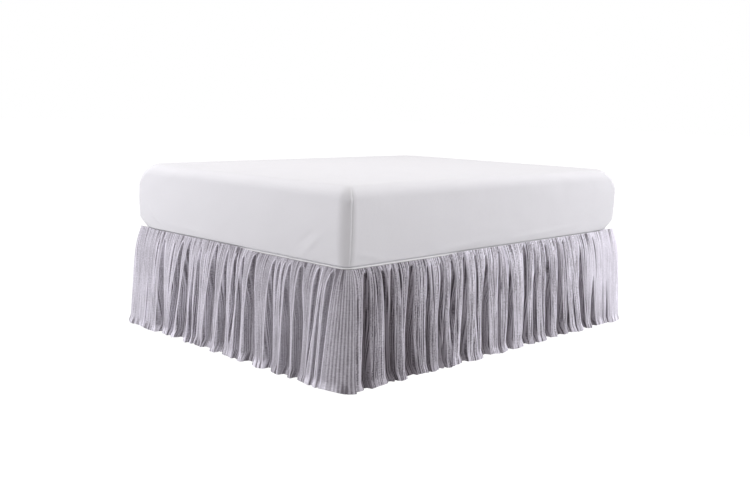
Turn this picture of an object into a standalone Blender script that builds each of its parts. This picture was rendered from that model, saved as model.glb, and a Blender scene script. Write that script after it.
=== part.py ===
"""Bed skirt with a white deck and three gathered panels, on a plain bed.

Metres, +Z up.  The foot of the bed is at -Y and the head at +Y.  The deck lies
between the mattress and the box spring; a narrow binding runs along its edge,
and the three panels hang from the binding to just above the floor.
"""
import math

import bmesh
import bpy
import numpy as np

# Bed
BED_WIDTH = 1.372
BED_LENGTH = 1.905
CORNER_RADIUS = 0.040
FIT_GAP = 0.0003
MATTRESS_HEIGHT = 0.299
MATTRESS_CORNER = 0.044
MATTRESS_TOP_ROUND = 0.042
MATTRESS_FOOT_ROUND = 0.010
MATTRESS_BULGE = 0.010
MATTRESS_EDGE_INSET = 0.003
MATTRESS_HEAD_INSET = 0.016
MATTRESS_SHIFT = -0.005
MATTRESS_CORNER_PULL = 0.024
MATTRESS_CORNER_ZONE = 0.13
MATTRESS_DRAW_LOW = 0.08
MATTRESS_DRAW_HIGH = 0.10
BOX_INSET = 0.010
BOX_HEIGHT = 0.2286

# Skirt
DECK_TOP = 0.4570
DECK_THICKNESS = 0.0016
DECK_INSET = 0.0026
BINDING_RADIUS = 0.0018
BINDING_HEIGHT = 0.4550
PANEL_TOP = 0.4527
PANEL_HEM = 0.0045
PANEL_THICKNESS = 0.0014
PANEL_ROWS = (0.0, 0.06, 0.16, 0.34, 0.62, 0.93, 1.0)
SPLIT_ANGLE = math.radians(58)
SPLIT_GAP = 0.0012
RETURN_LENGTH = 0.10
VALLEY_OUT = 0.003
LAP = 0.010
LAP_OUT = 0.0032
LAP_OUT_HEM = 0.0080
EDGE_CALM = 0.040

# Frame under the box spring
RAIL_OUT = 0.640
RAIL_LENGTH = 1.80
RAIL_FLANGE = 0.040
RAIL_WALL = 0.004
CROSS_WIDTH = 0.040
CROSS_HEIGHT = 0.025
CROSS_AT = (-0.70, 0.0, 0.70)
LEG_AT = ((-0.58, -0.70), (0.0, -0.70), (0.58, -0.70),
          (-0.58, 0.70), (0.0, 0.70), (0.58, 0.70))
LEG_RADIUS = 0.015
GLIDE_RADIUS = 0.024
GLIDE_HEIGHT = 0.014

# Recesses between the folds: distance of the middle from the foot corner at the
# heading, at half height and at the hem; share of the drop where it opens;
# width just below the heading, at half height and at the hem.
FOLD_COLUMNS = ("heading", "middle", "hem", "opens", "top_width",
                "middle_width", "hem_width")
FOOT_FOLDS = (
    (0.058, 0.067, 0.073, 0.01, 0.030, 0.027, 0.018),
    (0.127, 0.134, 0.148, 0.00, 0.024, 0.020, 0.003),
    (0.230, 0.209, 0.201, 0.02, 0.026, 0.055, 0.058),
    (0.290, 0.278, 0.268, 0.02, 0.022, 0.046, 0.056),
    (0.380, 0.377, 0.358, 0.02, 0.024, 0.042, 0.060),
    (0.503, 0.499, 0.480, 0.00, 0.030, 0.064, 0.074),
    (0.567, 0.566, 0.566, 0.04, 0.016, 0.037, 0.035),
    (0.619, 0.609, 0.611, 0.03, 0.018, 0.032, 0.010),
    (0.674, 0.673, 0.677, 0.03, 0.017, 0.047, 0.064),
    (0.753, 0.761, 0.773, 0.00, 0.026, 0.060, 0.075),
    (0.857, 0.858, 0.854, 0.05, 0.014, 0.033, 0.026),
    (0.895, 0.893, 0.899, 0.10, 0.003, 0.019, 0.030),
    (0.946, 0.953, 0.964, 0.00, 0.023, 0.058, 0.067),
    (0.989, 1.021, 1.045, 0.03, 0.021, 0.051, 0.040),
    (1.136, 1.132, 1.110, 0.05, 0.020, 0.040, 0.063),
)
SIDE_FOLDS = (
    (0.093, 0.071, 0.069, 0.02, 0.032, 0.040, 0.062),
    (0.172, 0.183, 0.196, 0.02, 0.024, 0.030, 0.036),
    (0.237, 0.212, 0.229, 0.02, 0.020, 0.032, 0.036),
    (0.352, 0.314, 0.334, 0.02, 0.030, 0.048, 0.068),
    (0.436, 0.421, 0.427, 0.04, 0.018, 0.035, 0.038),
    (0.522, 0.499, 0.485, 0.03, 0.020, 0.034, 0.026),
    (0.545, 0.524, 0.527, 0.35, 0.000, 0.010, 0.034),
    (0.592, 0.573, 0.566, 0.03, 0.026, 0.044, 0.012),
    (0.672, 0.652, 0.645, 0.02, 0.030, 0.038, 0.058),
    (0.745, 0.735, 0.738, 0.02, 0.021, 0.022, 0.003),
    (0.822, 0.797, 0.800, 0.03, 0.022, 0.060, 0.065),
    (0.914, 0.892, 0.892, 0.02, 0.023, 0.034, 0.028),
    (0.960, 0.977, 0.962, 0.10, 0.010, 0.047, 0.062),
    (1.098, 1.090, 1.089, 0.01, 0.031, 0.036, 0.056),
    (1.176, 1.164, 1.168, 0.02, 0.019, 0.036, 0.036),
    (1.257, 1.274, 1.268, 0.02, 0.022, 0.050, 0.064),
    (1.361, 1.370, 1.371, 0.02, 0.025, 0.046, 0.062),
    (1.410, 1.425, 1.446, 0.01, 0.022, 0.008, 0.026),
    (1.543, 1.554, 1.586, 0.07, 0.014, 0.052, 0.065),
    (1.645, 1.655, 1.664, 0.40, 0.000, 0.018, 0.056),
)
WIDTH_LEVELS = (0.12, 0.50, 0.92, 1.0)
DEPTH_PER_WIDTH = 0.66
DEPTH_MOST = 0.036
HEM_SHALLOWER = 0.35
HEM_PINCH = 0.85
WALL_PER_WIDTH = 0.20
WALL_LEAST = 0.0015
ROUNDING_PER_WIDTH = 0.50
ROUNDING_MOST = 0.016
ROUNDING_LEAST = 0.002
TAIL_LEAST = 0.004

# Form of a recess: share of the depth lost in the rounding before it, share
# left after its wall, and the widths over which that fades.
FOOT_SHAPE = dict(near=0.22, tail=0.06, tail_run=0.8)
SIDE_SHAPE = dict(near=0.24, tail=0.34, tail_run=1.5)
FAR_SIDE_LENGTH = 1.860

# How far the ridges stand out: at the heading, from the gathers, over the drop
# and in the flare at the hem.
SKIN_HEADING = 0.001
SKIN_GATHERS = 0.029
SKIN_GATHER_RUN = 0.095
SKIN_SPREAD = 0.031
SKIN_FLARE = 0.010
SKIN_FLARE_FROM = 0.93


def clear_scene():
    for item in list(bpy.data.objects):
        bpy.data.objects.remove(item, do_unlink=True)


def make_material(name, colour, roughness, metallic=0.0):
    material = bpy.data.materials.new(name)
    material.use_nodes = True
    shader = material.node_tree.nodes["Principled BSDF"]
    shader.inputs["Base Color"].default_value = (*colour, 1.0)
    shader.inputs["Roughness"].default_value = roughness
    shader.inputs["Metallic"].default_value = metallic
    return material


class Model:
    """Holds the collection, the parent empty and the materials."""

    def __init__(self):
        self.parts = bpy.data.collections.new("Bed skirt on a bed")
        bpy.context.scene.collection.children.link(self.parts)
        self.base = bpy.data.objects.new("bed_base", None)
        self.parts.objects.link(self.base)
        self.cloth = make_material("skirt_cloth", (0.56, 0.53, 0.60), 0.92)
        self.deck = make_material("deck_cloth", (0.86, 0.86, 0.87), 0.85)
        self.cover = make_material("mattress_cover", (0.80, 0.80, 0.82), 0.88)
        self.ticking = make_material("box_ticking", (0.74, 0.73, 0.71), 0.90)
        self.steel = make_material("frame_steel", (0.10, 0.10, 0.11), 0.45, 0.6)

    def add(self, name, data, material):
        item = bpy.data.objects.new(name, data)
        data.materials.append(material)
        self.parts.objects.link(item)
        item.parent = self.base
        return item

    def add_bmesh(self, name, bm, material, smooth=True):
        bmesh.ops.recalc_face_normals(bm, faces=bm.faces)
        mesh = bpy.data.meshes.new(name)
        bm.to_mesh(mesh)
        bm.free()
        if smooth:
            mesh.shade_smooth()
            mesh.set_sharp_from_angle(angle=math.radians(40))
        return self.add(name, mesh, material)


def smooth_step(value):
    value = np.clip(value, 0.0, 1.0)
    return value * value * (3.0 - 2.0 * value)


# ---------------------------------------------------------------- bed pieces

def upright_edges(bm):
    return [e for e in bm.edges
            if abs(e.verts[0].co.z - e.verts[1].co.z) > 1e-6
            and abs(e.verts[0].co.x - e.verts[1].co.x) < 1e-6
            and abs(e.verts[0].co.y - e.verts[1].co.y) < 1e-6]


def level_edges(bm, height):
    return [e for e in bm.edges
            if all(abs(v.co.z - height) < 1e-6 for v in e.verts)
            and any(abs(f.normal.z) < 0.5 for f in e.link_faces)]


def rounded_block(width, length, low, high, corner, top_round, low_round,
                  corner_steps=6, round_steps=4):
    """A box with rounded upright corners and rolled top and bottom edges."""
    bm = bmesh.new()
    bmesh.ops.create_cube(bm, size=1.0)
    for vert in bm.verts:
        vert.co.x *= width
        vert.co.y *= length
        vert.co.z = high if vert.co.z > 0 else low
    bmesh.ops.bevel(bm, geom=upright_edges(bm), offset=corner,
                    segments=corner_steps, profile=0.5, affect='EDGES')
    bm.normal_update()
    for height, radius in ((high, top_round), (low, low_round)):
        if radius > 0:
            bmesh.ops.bevel(bm, geom=level_edges(bm, height), offset=radius,
                            segments=round_steps, profile=0.5, affect='EDGES')
            bm.normal_update()
    return bm


def build_mattress(model):
    low = DECK_TOP + FIT_GAP
    high = low + MATTRESS_HEIGHT
    bm = rounded_block(BED_WIDTH - 2 * MATTRESS_EDGE_INSET,
                       BED_LENGTH - MATTRESS_HEAD_INSET - 2 * MATTRESS_EDGE_INSET,
                       low, high, MATTRESS_CORNER, MATTRESS_TOP_ROUND,
                       MATTRESS_FOOT_ROUND, 7, 5)
    half_w, half_l = BED_WIDTH / 2, BED_LENGTH / 2
    cuts = [((0, 0, low + share * MATTRESS_HEIGHT), (0, 0, 1))
            for share in (0.15, 0.3, 0.5, 0.7)]
    for side in (-1, 1):
        cuts.append(((side * (half_w - MATTRESS_CORNER_ZONE), 0, 0), (1, 0, 0)))
        cuts.append(((0, side * (half_l - MATTRESS_CORNER_ZONE), 0), (0, 1, 0)))
    for point, across in cuts:
        bmesh.ops.bisect_plane(
            bm, geom=list(bm.verts) + list(bm.edges) + list(bm.faces),
            plane_co=point, plane_no=across)
    bm.normal_update()
    for vert in bm.verts:
        share = (vert.co.z - low) / MATTRESS_HEIGHT
        push = MATTRESS_BULGE * max(math.sin(math.pi * share), 0.0) ** 0.7
        flat = vert.normal.copy()
        flat.z = 0.0
        if flat.length > 0.3:
            vert.co += flat.normalized() * push
        # three corners draw in towards the top and the foot; the fourth is crisp
        if vert.co.x > 0 > vert.co.y:
            continue
        level = vert.co.z - low
        ends = 1 - (smooth_step(level / MATTRESS_DRAW_LOW)
                    * smooth_step((MATTRESS_HEIGHT - level) / MATTRESS_DRAW_HIGH))
        nearness = smooth_step(1 - (half_w + half_l - abs(vert.co.x) - abs(vert.co.y))
                               / MATTRESS_CORNER_ZONE)
        pull = MATTRESS_CORNER_PULL * ends * nearness / math.sqrt(2)
        vert.co.x -= math.copysign(pull, vert.co.x)
        vert.co.y -= math.copysign(pull, vert.co.y)
    mattress = model.add_bmesh("mattress", bm, model.cover)
    mattress.location = (MATTRESS_SHIFT, -MATTRESS_HEAD_INSET / 2, 0.0)


def build_box_spring(model):
    high = DECK_TOP - DECK_THICKNESS - FIT_GAP
    low = high - BOX_HEIGHT
    bm = rounded_block(BED_WIDTH - 2 * BOX_INSET, BED_LENGTH - 2 * BOX_INSET,
                       low, high, CORNER_RADIUS - BOX_INSET, 0.012, 0.006, 6, 2)
    model.add_bmesh("box_spring", bm, model.ticking)
    return low


def build_deck(model):
    bm = rounded_block(BED_WIDTH - 2 * DECK_INSET, BED_LENGTH - 2 * DECK_INSET,
                       DECK_TOP - DECK_THICKNESS, DECK_TOP,
                       CORNER_RADIUS - DECK_INSET, 0.0, 0.0, 8)
    model.add_bmesh("skirt_deck", bm, model.deck)


# ------------------------------------------------------------- skirt outline

STRAIGHT_FOOT = BED_WIDTH / 2 - CORNER_RADIUS
ARC = CORNER_RADIUS * math.pi / 2
STRAIGHT_SIDE = BED_LENGTH - 2 * CORNER_RADIUS
SPLIT_AT = STRAIGHT_FOOT + CORNER_RADIUS * SPLIT_ANGLE
PATH_END = STRAIGHT_FOOT + 2 * ARC + STRAIGHT_SIDE + RETURN_LENGTH


def outline(along):
    """Point and outward direction at a distance along the deck's edge.

    The distance starts at the middle of the foot and grows towards the right
    side; a negative distance is the mirror image.
    """
    mirror = np.where(along < 0, -1.0, 1.0)
    along = np.abs(along)
    half_w, half_l, radius = BED_WIDTH / 2, BED_LENGTH / 2, CORNER_RADIUS
    first = np.clip((along - STRAIGHT_FOOT) / radius, 0, math.pi / 2)
    second = np.clip((along - STRAIGHT_FOOT - ARC - STRAIGHT_SIDE) / radius,
                     0, math.pi / 2)
    angle = first + second - math.pi / 2
    out_x, out_y = np.cos(angle), np.sin(angle)
    foot_run = np.minimum(along, STRAIGHT_FOOT)
    side_run = np.clip(along - STRAIGHT_FOOT - ARC, 0, STRAIGHT_SIDE)
    head_run = np.maximum(along - STRAIGHT_FOOT - 2 * ARC - STRAIGHT_SIDE, 0)
    x = foot_run - head_run + radius * out_x
    y = -half_l + radius + side_run + radius * out_y
    return x * mirror, y, out_x * mirror, out_y


def build_binding(model):
    """Narrow round binding that covers the seam of deck and panels."""
    arcs = [STRAIGHT_FOOT + ARC * k / 6 for k in range(7)]
    far = [a + ARC + STRAIGHT_SIDE for a in arcs]
    half = [0.0] + arcs + far + [PATH_END]
    path = np.array([-a for a in reversed(half[1:])] + half)
    x, y, out_x, out_y = outline(path)
    curve = bpy.data.curves.new("skirt_binding", 'CURVE')
    curve.dimensions = '3D'
    spline = curve.splines.new('POLY')
    spline.points.add(len(path) - 1)
    inset = 0.0004
    for point, px, py, nx, ny in zip(spline.points, x, y, out_x, out_y):
        point.co = (px - inset * nx, py - inset * ny, BINDING_HEIGHT, 1.0)
    curve.bevel_depth = BINDING_RADIUS
    curve.bevel_resolution = 2
    curve.use_fill_caps = True
    model.add("skirt_binding", curve, model.deck)


# -------------------------------------------------------------- skirt panels

def skin(down):
    """How far the ridges stand out at a share of the drop."""
    gathers = SKIN_GATHERS * (1 - np.exp(-down / SKIN_GATHER_RUN))
    flare = SKIN_FLARE * smooth_step((down - SKIN_FLARE_FROM)
                                     / (1 - SKIN_FLARE_FROM))
    return SKIN_HEADING + gathers + SKIN_SPREAD * down + flare


def fold_width(fold, down):
    """Width of a recess at a share of the drop."""
    levels = np.maximum.accumulate((fold["opens"],) + WIDTH_LEVELS)
    levels = levels + 0.001 * np.arange(len(levels))
    hem = fold["hem_width"]
    return np.interp(down, levels, (0.0, fold["top_width"], fold["middle_width"],
                                    hem, HEM_PINCH * hem))


def fold_dip(folds, middle, down, shape):
    """Depth of the recesses between the folds.

    Each one is a channel between two edges that part from its opening: a drop
    on the side of the near corner, a floor, and a steep wall.
    """
    total = np.zeros(np.broadcast(middle, down).shape)
    for row in folds:
        fold = dict(zip(FOLD_COLUMNS, row))
        width = fold_width(fold, down)
        depth = (np.minimum(DEPTH_PER_WIDTH * width, DEPTH_MOST)
                 * (1 - HEM_SHALLOWER * smooth_step((down - 0.88) / 0.12)))
        run = WALL_PER_WIDTH * width + WALL_LEAST
        before = fold["middle"] - middle - width / 2
        after = middle - fold["middle"] - width / 2
        inside = smooth_step(-before / run) * smooth_step(-after / run)
        rounding = (np.minimum(ROUNDING_PER_WIDTH * width, ROUNDING_MOST)
                    + ROUNDING_LEAST)
        near = (shape["near"] * np.clip(1 - before / rounding, 0, 1) ** 2
                * (after < -width / 2))
        fade = np.clip((after + run) / (shape["tail_run"] * width + TAIL_LEAST),
                       0, 1)
        tail = shape["tail"] * (before < -width / 2) * (1 - fade) ** 1.8
        total += (depth * np.maximum(np.maximum(inside, near), tail)) ** 3
    return np.cbrt(total)


def fold_shift(folds, middle, down, start, end):
    """Slide along the edge that makes the columns follow the leaning folds."""
    at = np.array([start] + [row[1] for row in folds] + [end])
    to_heading = np.array([0.0] + [row[0] - row[1] for row in folds] + [0.0])
    to_hem = np.array([0.0] + [row[2] - row[1] for row in folds] + [0.0])
    up = np.interp(middle, at, to_heading)
    low = np.interp(middle, at, to_hem)
    turn = 2.0 * down - 1.0
    return 0.5 * turn * (turn - 1.0) * up + 0.5 * turn * (turn + 1.0) * low


def liveliness(panel, middle):
    """Folds fade to nothing at the panel's two upright edges."""
    return (smooth_step((middle - panel["start"]) / EDGE_CALM)
            * smooth_step((panel["end"] - middle) / EDGE_CALM))


def stand_out(panel, middle, down):
    """Distance of the cloth from the deck's edge."""
    ridge = skin(down)
    dip = (fold_dip(panel["folds"], middle, down, panel["shape"])
           * (0.10 + 0.90 * liveliness(panel, middle)))
    room = np.maximum(ridge - VALLEY_OUT, 1e-6)
    out = ridge - room * np.tanh(dip / room)
    if panel["laps"]:
        to_end = np.minimum(middle - panel["start"], panel["end"] - middle)
        lap = LAP_OUT + (LAP_OUT_HEM - LAP_OUT) * smooth_step((down - 0.8) / 0.2)
        out = out + lap * smooth_step((LAP + 0.02 - to_end) / 0.02)
    return out


def pick_columns(panel):
    """Columns set closer where the cloth bends more and round the corners."""
    fine = np.linspace(panel["start"], panel["end"], 1200)
    bend = np.zeros_like(fine)
    for down in (0.5, 0.9):
        out = stand_out(panel, fine, np.full_like(fine, down))
        bend += np.abs(np.gradient(np.gradient(out, fine), fine))
    out_x, out_y = outline(panel["place"](fine))[2:]
    corner = (np.abs(out_x) > 1e-3) & (np.abs(out_y) > 1e-3)
    weight = 1.0 + 0.9 * np.sqrt(bend) + 4.0 * corner
    run = np.concatenate(([0.0], np.cumsum((weight[1:] + weight[:-1]) / 2)))
    return np.interp(np.linspace(0, run[-1], panel["columns"]), run, fine)


def build_panel(model, name, panel):
    """Hang one gathered panel.

    The middle coordinate runs from the foot corner along the panel; the
    panel's place turns it into a distance along the outline.
    """
    columns, rows = pick_columns(panel), np.array(PANEL_ROWS)
    bm = bmesh.new()
    bmesh.ops.create_grid(bm, x_segments=len(columns) - 1,
                          y_segments=len(rows) - 1, size=0.5)
    bm.verts.ensure_lookup_table()
    step_x = np.array([round((v.co.x + 0.5) * (len(columns) - 1))
                       for v in bm.verts])
    step_y = np.array([round((0.5 - v.co.y) * (len(rows) - 1))
                       for v in bm.verts])
    middle, down = columns[step_x], rows[step_y]
    along = panel["place"](middle + fold_shift(panel["folds"], middle, down,
                                               panel["start"], panel["end"]))
    out = stand_out(panel, middle, down)
    hollow = np.clip((skin(down) - out) / 0.030, 0, 1)
    lively = liveliness(panel, middle)
    wave = 0.0030 * (1 + np.sin(middle * 41.0 + 1.3 * np.sin(middle * 13.0)))
    hem_lift = ((wave * lively + panel["edge_lift"] * (1 - lively) + 0.0020 * hollow)
                * smooth_step((down - 0.5) / 0.5))
    height = PANEL_TOP - (PANEL_TOP - PANEL_HEM) * down + hem_lift
    x, y, out_x, out_y = outline(along)
    for vert, px, py, pz in zip(bm.verts, x + out * out_x, y + out * out_y,
                                height):
        vert.co = (px, py, pz)
    bm.normal_update()
    face = max(bm.faces, key=lambda f: f.calc_area())
    centre = face.calc_center_median()
    if face.normal.x * centre.x + face.normal.y * centre.y < 0:
        bmesh.ops.reverse_faces(bm, faces=bm.faces)
    mesh = bpy.data.meshes.new(name)
    bm.to_mesh(mesh)
    bm.free()
    mesh.shade_smooth()
    item = model.add(name, mesh, model.cloth)
    wall = item.modifiers.new("wall", 'SOLIDIFY')
    wall.thickness = PANEL_THICKNESS
    wall.offset = 0.0
    wall.use_even_offset = True


def build_panels(model):
    half_w = BED_WIDTH / 2
    side_shift = STRAIGHT_FOOT + ARC - CORNER_RADIUS
    reach = SPLIT_AT - SPLIT_GAP / 2 + LAP
    far_folds = tuple((*(FAR_SIDE_LENGTH - at for at in row[:3]), *row[3:])
                      for row in reversed(SIDE_FOLDS))
    foot = dict(folds=FOOT_FOLDS, start=half_w - reach, end=half_w + reach,
                place=lambda q: half_w - q, columns=160, shape=FOOT_SHAPE,
                laps=True, edge_lift=0.0)
    right = dict(folds=SIDE_FOLDS, start=SPLIT_AT + SPLIT_GAP / 2 - side_shift,
                 end=PATH_END - side_shift, place=lambda q: side_shift + q,
                 columns=202, shape=SIDE_SHAPE, laps=False, edge_lift=0.004)
    left = dict(right, folds=far_folds, place=lambda q: -(side_shift + q))
    build_panel(model, "panel_foot", foot)
    build_panel(model, "panel_right", right)
    build_panel(model, "panel_left", left)


# -------------------------------------------------------------------- frame

def build_rail(model, name, side, top):
    """Angle section: level flange on top, upright flange on the outer side."""
    curve = bpy.data.curves.new(name, 'CURVE')
    curve.dimensions = '2D'
    curve.fill_mode = 'BOTH'
    corners = ((0, 0), (RAIL_FLANGE, 0), (RAIL_FLANGE, -RAIL_WALL),
               (RAIL_WALL, -RAIL_WALL), (RAIL_WALL, -RAIL_FLANGE),
               (0, -RAIL_FLANGE))
    spline = curve.splines.new('POLY')
    spline.points.add(len(corners) - 1)
    for point, (across, up) in zip(spline.points, corners):
        point.co = (-side * across, up, 0.0, 1.0)
    spline.use_cyclic_u = True
    curve.extrude = RAIL_LENGTH / 2
    rail = model.add(name, curve, model.steel)
    rail.rotation_euler = (math.pi / 2, 0, 0)
    rail.location = (side * RAIL_OUT, 0, top)


def build_cross_rail(model, name, at, top):
    bm = bmesh.new()
    bmesh.ops.create_cube(bm, size=1.0)
    half = RAIL_OUT - RAIL_WALL - FIT_GAP
    for vert in bm.verts:
        vert.co.x *= 2 * half
        vert.co.y = vert.co.y * CROSS_WIDTH
        vert.co.z = top if vert.co.z > 0 else top - CROSS_HEIGHT
    cross = model.add_bmesh(name, bm, model.steel, smooth=False)
    cross.location.y = at


def build_leg(model, name, at, top):
    """Turned leg with a wider glide at its foot."""
    profile = ((0.0, top), (LEG_RADIUS, top), (LEG_RADIUS, GLIDE_HEIGHT + 0.004),
               (GLIDE_RADIUS, GLIDE_HEIGHT), (GLIDE_RADIUS, 0.0), (0.0, 0.0))
    mesh = bpy.data.meshes.new(name)
    mesh.from_pydata([(r, 0, z) for r, z in profile],
                     [(k, k + 1) for k in range(len(profile) - 1)], [])
    leg = model.add(name, mesh, model.steel)
    leg.location = (at[0], at[1], 0.0)
    turn = leg.modifiers.new("turn", 'SCREW')
    turn.steps = turn.render_steps = 20
    turn.use_merge_vertices = True
    turn.merge_threshold = 0.0001


def build_frame(model, top):
    top -= FIT_GAP
    build_rail(model, "frame_rail_right", 1, top)
    build_rail(model, "frame_rail_left", -1, top)
    cross_top = top - RAIL_WALL - FIT_GAP
    for number, at in enumerate(CROSS_AT, 1):
        build_cross_rail(model, f"frame_cross_{number}", at, cross_top)
    leg_top = cross_top - CROSS_HEIGHT - FIT_GAP
    for number, at in enumerate(LEG_AT, 1):
        build_leg(model, f"frame_leg_{number}", at, leg_top)


def centre_on_origin(model):
    """Move everything so that the origin is under the middle of the whole."""
    bpy.context.view_layer.update()
    graph = bpy.context.evaluated_depsgraph_get()
    low, high = np.full(3, 1e9), np.full(3, -1e9)
    for item in model.parts.objects:
        if item.type == 'EMPTY':
            continue
        shaped = item.evaluated_get(graph)
        mesh = shaped.to_mesh()
        points = np.array([shaped.matrix_world @ v.co for v in mesh.vertices])
        low, high = np.minimum(low, points.min(0)), np.maximum(high, points.max(0))
        shaped.to_mesh_clear()
    middle = (low + high) / 2
    model.base.location = (-middle[0], -middle[1], -low[2])


def main():
    clear_scene()
    model = Model()
    build_mattress(model)
    box_low = build_box_spring(model)
    build_deck(model)
    build_binding(model)
    build_panels(model)
    build_frame(model, box_low)
    centre_on_origin(model)


main()
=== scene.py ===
# Gathered bed skirt on a plain bed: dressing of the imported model. Lengths are in metres.
import math

import bpy
import numpy as np
from mathutils import Matrix


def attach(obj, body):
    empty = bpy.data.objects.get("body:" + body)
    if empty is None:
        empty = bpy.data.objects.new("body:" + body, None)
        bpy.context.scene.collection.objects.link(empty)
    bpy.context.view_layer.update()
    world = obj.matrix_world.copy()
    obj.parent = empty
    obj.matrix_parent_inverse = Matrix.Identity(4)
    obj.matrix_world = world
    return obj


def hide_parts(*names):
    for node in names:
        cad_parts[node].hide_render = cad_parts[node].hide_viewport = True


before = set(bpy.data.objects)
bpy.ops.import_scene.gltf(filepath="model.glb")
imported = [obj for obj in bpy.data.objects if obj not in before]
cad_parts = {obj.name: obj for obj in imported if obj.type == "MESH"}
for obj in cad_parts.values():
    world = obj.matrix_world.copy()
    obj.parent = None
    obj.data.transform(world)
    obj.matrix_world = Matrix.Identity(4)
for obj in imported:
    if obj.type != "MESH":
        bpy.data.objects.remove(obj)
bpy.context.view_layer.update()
print("frame loaded:", len(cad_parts), "nodes")

bed = dict(
    width=1.372, length=1.905, corner=0.040,  # deck outline, corner radius
    deckTop=0.457, mattressHeight=0.299,
)


# shared shape helpers

def smoothStep(value):
    # 3v^2 - 2v^3, held at 0 and 1
    value = np.clip(value, 0.0, 1.0)
    return value * value * (3.0 - 2.0 * value)


def bell(value, centre, reach):
    # exp(-((value - centre) / reach)^2)
    return np.exp(-((value - centre) / reach) ** 2)


def softNoise(u, v, seed, cells=64):
    # random values on a square lattice, eased between lattice points, -1 to 1
    lattice = np.random.default_rng(seed).uniform(-1, 1, (cells, cells))
    u, v = np.broadcast_arrays(u, v)
    west, south = np.floor(u).astype(int), np.floor(v).astype(int)
    shareU, shareV = smoothStep(u - west), smoothStep(v - south)
    west, south = west % cells, south % cells
    east, north = (west + 1) % cells, (south + 1) % cells
    low = lattice[west, south] * (1 - shareU) + lattice[east, south] * shareU
    high = lattice[west, north] * (1 - shareU) + lattice[east, north] * shareU
    return low * (1 - shareV) + high * shareV


def ringPoint(turn, halfWidth, halfLength, radius):
    # rounded rectangle: turn 0-1 is half the foot, 1-2 a corner, 2-3 a side,
    # 3-4 a corner and 4-5 half the head; gives x, y, outX, outY
    angle = math.pi / 2 * (np.clip(turn - 1, 0, 1) + np.clip(turn - 3, 0, 1) - 1)
    outX, outY = np.cos(angle), np.sin(angle)
    x = (halfWidth - radius) * (np.clip(turn, 0, 1) - np.clip(turn - 4, 0, 1)) + radius * outX
    y = (halfLength - radius) * (2 * np.clip(turn - 2, 0, 1) - 1) + radius * outY
    return x, y, outX, outY


def ringBreaks(halfWidth, halfLength, radius):
    # distances at which the five stretches of ringPoint end
    foot, arc, side = halfWidth - radius, radius * math.pi / 2, 2 * (halfLength - radius)
    return np.cumsum([0, foot, arc, side, arc, foot])


bedBreaks = ringBreaks(bed["width"] / 2, bed["length"] / 2, bed["corner"])


def outline(along):
    # the deck's edge at a distance from the middle of the foot; a negative
    # distance is the mirror image
    turn = np.interp(np.abs(along), bedBreaks, np.arange(6))
    x, y, outX, outY = ringPoint(turn, bed["width"] / 2, bed["length"] / 2, bed["corner"])
    mirror = np.where(along < 0, -1.0, 1.0)
    return x * mirror, y, outX * mirror, outY


def surfaceNormals(points):
    # cross product of the grid's two tangents, set to unit length
    down = np.gradient(points, axis=0)
    across = np.gradient(points, axis=1)
    normal = np.cross(across, down)
    return normal / np.maximum(np.linalg.norm(normal, axis=2, keepdims=True), 1e-12)


def gridFaces(rows, columns, wrap=False, flip=False):
    # quads between neighbouring grid points; wrap joins the last column to the first
    index = np.arange(rows * columns).reshape(rows, columns)
    if wrap:
        index = np.concatenate([index, index[:, :1]], axis=1)
    quads = np.stack([index[:-1, :-1], index[1:, :-1], index[1:, 1:], index[:-1, 1:]], axis=-1)
    quads = quads.reshape(-1, 4)
    return quads[:, ::-1] if flip else quads


def ringFaces(rows, columns):
    # closed rings, first at the underside and last on top, with a fan to the two
    # poles that follow the grid's own points; faces point outwards
    ring = np.arange(columns)
    last = ring + (rows - 1) * columns
    bottom = np.stack([np.full(columns, rows * columns), np.roll(ring, -1), ring], axis=-1)
    top = np.stack([np.full(columns, rows * columns + 1), last, np.roll(last, -1)], axis=-1)
    return [gridFaces(rows, columns, wrap=True, flip=True), bottom, top]


def meshPiece(name, points, faces, material, uv, marks=None):
    # points n x 3, faces a list of index arrays of 3 or 4 corners; uv and marks have
    # one value a point, and marks become attributes that the material reads
    mesh = bpy.data.meshes.new(name)
    loops = np.concatenate([f.ravel() for f in faces]).astype(np.int32)
    totals = np.concatenate([np.full(len(f), f.shape[1]) for f in faces]).astype(np.int32)
    starts = np.concatenate([[0], np.cumsum(totals)[:-1]]).astype(np.int32)
    mesh.vertices.add(len(points))
    mesh.vertices.foreach_set("co", points.astype(np.float32).ravel())
    mesh.loops.add(len(loops))
    mesh.loops.foreach_set("vertex_index", loops)
    mesh.polygons.add(len(totals))
    mesh.polygons.foreach_set("loop_start", starts)
    mesh.polygons.foreach_set("loop_total", totals)
    mesh.update(calc_edges=True)
    layer = mesh.uv_layers.new(name="cloth")
    layer.data.foreach_set("uv", uv[loops].astype(np.float32).ravel())
    for key, values in (marks or {}).items():
        layer = mesh.attributes.new(key, 'FLOAT', 'POINT')
        layer.data.foreach_set("value", values.astype(np.float32).ravel())
    mesh.validate()
    mesh.shade_smooth()
    mesh.materials.append(material)
    piece = bpy.data.objects.new(name, mesh)
    bpy.context.scene.collection.objects.link(piece)
    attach(piece, "root")
    return piece


def closedPiece(name, points, low, high, material, uv):
    # closed rings of points from the underside to the top, with a pole at either end
    rows, columns = points.shape[:2]
    flat = np.concatenate([points.reshape(-1, 3), [[0, 0, low], [0, 0, high]]])
    return meshPiece(name, flat, ringFaces(rows, columns), material, uv)


def profileUv(inset, level, along):
    # distance along the outline and distance up the profile; the two poles come last
    reach = np.concatenate([[0], np.cumsum(np.hypot(np.diff(inset[:, 0]), np.diff(level[:, 0])))])[:, None]
    grid = np.stack([along + 0 * reach, reach + 0 * along], axis=-1).reshape(-1, 2)
    return np.concatenate([grid, [[0, 0], [0, reach[-1, 0] + 0.3]]])


# shared shader groups and nodes

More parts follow.
